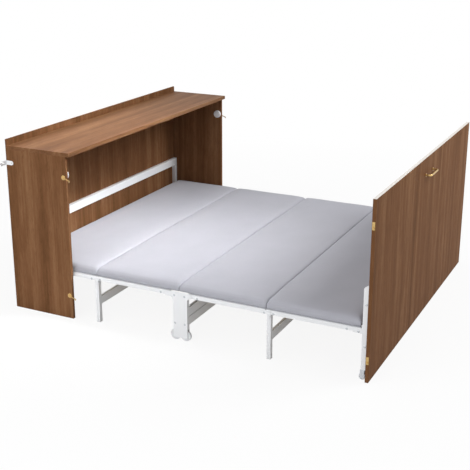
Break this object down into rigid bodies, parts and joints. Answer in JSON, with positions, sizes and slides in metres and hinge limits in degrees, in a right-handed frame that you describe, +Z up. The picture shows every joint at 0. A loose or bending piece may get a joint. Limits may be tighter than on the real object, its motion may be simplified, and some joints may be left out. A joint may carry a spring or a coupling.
{
  "type": "cabinet bed",
  "caption": "Low walnut cabinet that opens into a flat double bed: the front rolls out on wheels and unfolds a white tube frame with a soft sectioned mattress.",
  "frame": {"origin": "middle of the floor under the opened bed, at the bottom centre of its box", "axes": "+X across the cabinet, +Y from the foot panel to the wall, +Z up"},
  "size_m": [1.97, 2.171, 0.997],
  "materials": {
    "walnut": "satin walnut veneer",
    "walnut_top": "semi-gloss walnut veneer",
    "white_metal": "white powder coat",
    "deck_wood": "bare plywood",
    "mattress": "soft pale grey ticking",
    "brass": "satin brass",
    "white_plastic": "matte",
    "cap_plastic": "matte",
    "wheel": "nylon",
    "zinc": "zinc plated"
  },
  "bodies": {
    "cabinet": {"side_panel_left": "walnut", "side_panel_right": "walnut", "back_panel": "walnut", "top_board": "walnut_top", "head_frame": "white_metal", "wall_bracket_left": "brass", "wall_bracket_right": "brass", "disc_left": "white_plastic", "disc_right": "white_plastic", "latch_plate_left_top": "brass", "latch_plate_left_bottom": "brass", "latch_plate_right_top": "brass", "latch_plate_right_bottom": "brass"},
    "section_1": {"section_frame_1": "white_metal", "deck_1": "deck_wood", "mattress_1": "mattress"},
    "section_2": {"section_frame_2": "white_metal", "deck_2": "deck_wood", "mattress_2": "mattress"},
    "section_3": {"section_frame_3": "white_metal", "deck_3": "deck_wood", "mattress_3": "mattress"},
    "section_4": {"section_frame_4": "white_metal", "deck_4": "deck_wood", "mattress_4": "mattress"},
    "leg_12": {"leg_frame_12": "white_metal", "leg_cap_12_left": "cap_plastic", "leg_cap_12_right": "cap_plastic"},
    "leg_34": {"leg_frame_34": "white_metal", "leg_cap_34_left": "cap_plastic", "leg_cap_34_right": "cap_plastic"},
    "carriage": {"bogie_frame": "white_metal"},
    "foot": {"foot_frame": "white_metal", "caster_fork_left": "zinc", "caster_fork_right": "zinc", "front_panel": "walnut", "handle": "brass", "catch_left_top": "brass", "catch_left_bottom": "brass", "catch_right_top": "brass", "catch_right_bottom": "brass"},
    "carriage_wheel_left_head": {"bogie_wheel_left_head": "wheel"},
    "carriage_wheel_left_foot": {"bogie_wheel_left_foot": "wheel"},
    "foot_wheel_left": {"caster_wheel_left": "wheel"},
    "carriage_wheel_right_head": {"bogie_wheel_right_head": "wheel"},
    "carriage_wheel_right_foot": {"bogie_wheel_right_foot": "wheel"},
    "foot_wheel_right": {"caster_wheel_right": "wheel"},
    "hook_left_top": {"latch_hook_left_top": "brass"},
    "hook_left_bottom": {"latch_hook_left_bottom": "brass"},
    "hook_right_top": {"latch_hook_right_top": "brass"},
    "hook_right_bottom": {"latch_hook_right_bottom": "brass"}
  },
  "joints": [
    {"name": "head_fold", "type": "hinge", "parent": "cabinet", "child": "section_1", "pos_m": [0, 0.982, 0.261], "axis": [-1, 0, 0], "range_deg": [0, 90]},
    {"name": "leg_12_turn", "type": "hinge", "parent": "section_1", "child": "leg_12", "pos_m": [0, 0.53425, 0.2385], "axis": [-1, 0, 0], "range_deg": [-90, 0]},
    {"name": "fold_12", "type": "hinge", "parent": "section_1", "child": "section_2", "pos_m": [0, 0.53425, 0.2385], "axis": [-1, 0, 0], "range_deg": [-180, 0]},
    {"name": "carriage_head_turn", "type": "hinge", "parent": "section_2", "child": "carriage", "pos_m": [0, 0.0865, 0.261], "axis": [-1, 0, 0], "range_deg": [0, 90]},
    {"name": "carriage_foot_turn", "type": "hinge", "parent": "carriage", "child": "section_3", "pos_m": [0, -0.0515, 0.261], "axis": [-1, 0, 0], "range_deg": [0, 90]},
    {"name": "leg_34_turn", "type": "hinge", "parent": "section_3", "child": "leg_34", "pos_m": [0, -0.50725, 0.2385], "axis": [-1, 0, 0], "range_deg": [-90, 0]},
    {"name": "fold_34", "type": "hinge", "parent": "section_3", "child": "section_4", "pos_m": [0, -0.50725, 0.2385], "axis": [-1, 0, 0], "range_deg": [-180, 0]},
    {"name": "foot_turn", "type": "hinge", "parent": "section_4", "child": "foot", "pos_m": [0, -0.963, 0.261], "axis": [-1, 0, 0], "range_deg": [0, 90]},
    {"name": "carriage_wheel_left_head_roll", "type": "hinge", "parent": "carriage", "child": "carriage_wheel_left_head", "pos_m": [-0.8979, 0.0375, 0.03], "axis": [-1, 0, 0], "continuous": true},
    {"name": "carriage_wheel_left_foot_roll", "type": "hinge", "parent": "carriage", "child": "carriage_wheel_left_foot", "pos_m": [-0.8979, -0.0245, 0.03], "axis": [-1, 0, 0], "continuous": true},
    {"name": "foot_wheel_left_roll", "type": "hinge", "parent": "foot", "child": "foot_wheel_left", "pos_m": [-0.89875, -1.0095, 0.018], "axis": [-1, 0, 0], "continuous": true},
    {"name": "carriage_wheel_right_head_roll", "type": "hinge", "parent": "carriage", "child": "carriage_wheel_right_head", "pos_m": [0.8979, 0.0375, 0.03], "axis": [-1, 0, 0], "continuous": true},
    {"name": "carriage_wheel_right_foot_roll", "type": "hinge", "parent": "carriage", "child": "carriage_wheel_right_foot", "pos_m": [0.8979, -0.0245, 0.03], "axis": [-1, 0, 0], "continuous": true},
    {"name": "foot_wheel_right_roll", "type": "hinge", "parent": "foot", "child": "foot_wheel_right", "pos_m": [0.89875, -1.0095, 0.018], "axis": [-1, 0, 0], "continuous": true},
    {"name": "hook_left_top_turn", "type": "hinge", "parent": "cabinet", "child": "hook_left_top", "pos_m": [-0.9338, 0.7035, 0.823], "axis": [-1, 0, 0], "range_deg": [-17, 100]},
    {"name": "hook_left_bottom_turn", "type": "hinge", "parent": "cabinet", "child": "hook_left_bottom", "pos_m": [-0.9338, 0.7035, 0.137], "axis": [-1, 0, 0], "range_deg": [-17, 100]},
    {"name": "hook_right_top_turn", "type": "hinge", "parent": "cabinet", "child": "hook_right_top", "pos_m": [0.9338, 0.7035, 0.823], "axis": [-1, 0, 0], "range_deg": [-17, 100]},
    {"name": "hook_right_bottom_turn", "type": "hinge", "parent": "cabinet", "child": "hook_right_bottom", "pos_m": [0.9338, 0.7035, 0.137], "axis": [-1, 0, 0], "range_deg": [-17, 100]}
  ],
  "couplings": [
    {"joint": "leg_12_turn", "follows": "head_fold", "ratio": -1},
    {"joint": "fold_12", "follows": "head_fold", "ratio": -2},
    {"joint": "carriage_head_turn", "follows": "head_fold", "ratio": 1},
    {"joint": "carriage_foot_turn", "follows": "head_fold", "ratio": 1},
    {"joint": "leg_34_turn", "follows": "head_fold", "ratio": -1},
    {"joint": "fold_34", "follows": "head_fold", "ratio": -2},
    {"joint": "foot_turn", "follows": "head_fold", "ratio": 1}
  ]
}
